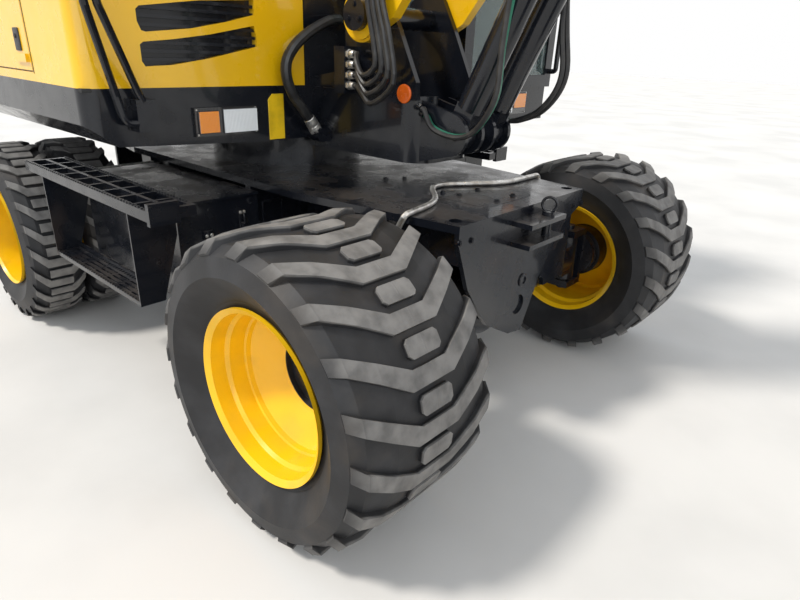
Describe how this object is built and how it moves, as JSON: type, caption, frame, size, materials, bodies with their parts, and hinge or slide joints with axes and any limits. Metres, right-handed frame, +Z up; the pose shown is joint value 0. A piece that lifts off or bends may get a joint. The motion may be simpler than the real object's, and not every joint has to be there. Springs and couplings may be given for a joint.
{
  "type": "wheeled excavator",
  "caption": "Wheeled excavator with a mono boom, hanging stick and bucket, cab, side steps, wide steered front tyres and twin rear tyres.",
  "frame": {"origin": "on the ground, at the middle of the machine's length and width", "axes": "+X forward, +Y to the machine's left, +Z up"},
  "size_m": [6.9632, 2.605, 4.0499],
  "materials": {
    "yellow_paint": "gloss",
    "black_paint": "gloss",
    "tyre": "matt",
    "hose_rubber": "satin",
    "glass": "clear",
    "chrome": "polished",
    "galvanised": "satin",
    "seat_fabric": "woven",
    "plastic": "matt",
    "lamp_glass": "clear",
    "cast_iron": "cast"
  },
  "bodies": {
    "undercarriage": {"chassis_frame": "black_paint", "slew_ring": "black_paint", "front_axle": "black_paint", "rear_axle": "black_paint", "steps": "black_paint", "toolboxes": "black_paint", "deck_pipe": "galvanised"},
    "knuckle_right": {"knuckle_right": "black_paint"},
    "knuckle_left": {"knuckle_left": "black_paint"},
    "wheel_front_right": {"rim_front_right": "yellow_paint", "tyre_front_right": "tyre"},
    "wheel_front_left": {"rim_front_left": "yellow_paint", "tyre_front_left": "tyre"},
    "wheels_rear_right": {"rims_rear_right": "yellow_paint", "tyres_rear_right": "tyre"},
    "wheels_rear_left": {"rims_rear_left": "yellow_paint", "tyres_rear_left": "tyre"},
    "upper": {"upper_frame": "black_paint", "counterweight": "yellow_paint", "house": "yellow_paint", "engine": "cast_iron", "cab_frame": "black_paint", "cab_glass": "glass", "seat": "seat_fabric", "controls": "plastic", "lamps": "lamp_glass", "grilles": "black_paint", "mirrors": "black_paint", "tower_hoses": "hose_rubber", "boom_hoses": "hose_rubber"},
    "hood": {"hood": "yellow_paint"},
    "service_door": {"service_door": "yellow_paint"},
    "cab_door": {"cab_door": "black_paint", "door_glass": "glass"},
    "boom": {"boom": "yellow_paint"},
    "stick": {"stick": "yellow_paint"},
    "bucket": {"bucket": "black_paint"},
    "rocker": {"rocker": "black_paint"},
    "link": {"link": "black_paint"},
    "boom_barrels": {"boom_barrels": "black_paint"},
    "boom_rods": {"boom_rods": "chrome"},
    "stick_barrel": {"stick_barrel": "black_paint"},
    "stick_rod": {"stick_rod": "chrome"},
    "bucket_barrel": {"bucket_barrel": "black_paint"},
    "bucket_rod": {"bucket_rod": "chrome"}
  },
  "joints": [
    {"name": "slew", "type": "hinge", "parent": "undercarriage", "child": "upper", "pos_m": [-1.73166, 0, 0.968], "axis": [0, 0, 1], "continuous": true},
    {"name": "steer_right", "type": "hinge", "parent": "undercarriage", "child": "knuckle_right", "pos_m": [-0.31166, -0.78, 0.523], "axis": [0, 0, 1], "range_deg": [-24, 24]},
    {"name": "steer_left", "type": "hinge", "parent": "undercarriage", "child": "knuckle_left", "pos_m": [-0.31166, 0.78, 0.523], "axis": [0, 0, 1], "range_deg": [-24.1, 24.1]},
    {"name": "roll_front_right", "type": "hinge", "parent": "knuckle_right", "child": "wheel_front_right", "pos_m": [-0.31166, -0.995, 0.523], "axis": [0, 1, 0], "continuous": true},
    {"name": "roll_front_left", "type": "hinge", "parent": "knuckle_left", "child": "wheel_front_left", "pos_m": [-0.31166, 0.995, 0.523], "axis": [0, 1, 0], "continuous": true},
    {"name": "roll_rear_right", "type": "hinge", "parent": "undercarriage", "child": "wheels_rear_right", "pos_m": [-2.74166, -1, 0.495], "axis": [0, 1, 0], "continuous": true},
    {"name": "roll_rear_left", "type": "hinge", "parent": "undercarriage", "child": "wheels_rear_left", "pos_m": [-2.74166, 1, 0.495], "axis": [0, 1, 0], "continuous": true},
    {"name": "boom_lift", "type": "hinge", "parent": "upper", "child": "boom", "pos_m": [-0.87966, 0, 1.661], "axis": [0, -1, 0], "range_deg": [-50, 20], "deforming": ["boom_hoses"]},
    {"name": "stick_swing", "type": "hinge", "parent": "boom", "child": "stick", "pos_m": [3.08717, 0, 3.44897], "axis": [0, 1, 0], "range_deg": [-50, 40]},
    {"name": "bucket_curl", "type": "hinge", "parent": "stick", "child": "bucket", "pos_m": [2.83107, 0, 1.01239], "axis": [0, 1, 0], "range_deg": [-45, 75]},
    {"name": "rocker_turn", "type": "hinge", "parent": "stick", "child": "rocker", "pos_m": [2.84434, 0, 1.39216], "axis": [0, 1, 0], "range_deg": [-45.1, 75.1]},
    {"name": "link_turn", "type": "hinge", "parent": "rocker", "child": "link", "pos_m": [3.14064, 0, 1.43909], "axis": [0, -1, 0], "range_deg": [-45.1, 75.1]},
    {"name": "boom_tilt", "type": "hinge", "parent": "upper", "child": "boom_barrels", "pos_m": [-0.45666, 0, 1.222], "axis": [0, -1, 0], "range_deg": [-47.88, 19.18]},
    {"name": "boom_stroke", "type": "slide", "parent": "boom_barrels", "child": "boom_rods", "axis": [0.4242, 0, 0.9056], "range_m": [-0.4991, 0.1999]},
    {"name": "stick_tilt", "type": "hinge", "parent": "boom", "child": "stick_barrel", "pos_m": [0.75839, 0, 3.9809], "axis": [0, -1, 0], "range_deg": [-3.57, 2.86]},
    {"name": "stick_stroke", "type": "slide", "parent": "stick_barrel", "child": "stick_rod", "axis": [0.9996, 0, -0.0299], "range_m": [-0.3467, 0.2775]},
    {"name": "bucket_tilt", "type": "hinge", "parent": "stick", "child": "bucket_barrel", "pos_m": [3.40666, 0, 3.33268], "axis": [0, -1, 0], "range_deg": [-0.337, 0.528]},
    {"name": "bucket_stroke", "type": "slide", "parent": "bucket_barrel", "child": "bucket_rod", "axis": [-0.1391, 0, -0.9903], "range_m": [-0.2067, 0.3442]},
    {"name": "cab_door_hinge", "type": "hinge", "parent": "upper", "child": "cab_door", "pos_m": [-1.79466, 1.265, 2.15], "axis": [0, 0, 1], "range_deg": [0, 110]},
    {"name": "service_door_hinge", "type": "hinge", "parent": "upper", "child": "service_door", "pos_m": [-2.47466, -1.265, 1.76], "axis": [0, 0, -1], "range_deg": [0, 110]},
    {"name": "hood_hinge", "type": "hinge", "parent": "upper", "child": "hood", "pos_m": [-3.04566, 0, 2.096], "axis": [0, -1, 0], "range_deg": [0, 60]}
  ],
  "couplings": [
    {"joint": "steer_left", "follows": "steer_right", "ratio": 1},
    {"joint": "rocker_turn", "follows": "bucket_curl", "ratio": 1},
    {"joint": "link_turn", "follows": "bucket_curl", "ratio": 1},
    {"joint": "boom_tilt", "follows": "boom_lift", "ratio": 0.95668},
    {"joint": "boom_stroke", "follows": "boom_lift", "m_per_rad": 0.5713},
    {"joint": "stick_tilt", "follows": "stick_swing", "ratio": 0.070331},
    {"joint": "stick_stroke", "follows": "stick_swing", "m_per_rad": 0.39672},
    {"joint": "bucket_tilt", "follows": "bucket_curl", "ratio": 0.006378},
    {"joint": "bucket_stroke", "follows": "bucket_curl", "m_per_rad": 0.2626}
  ]
}
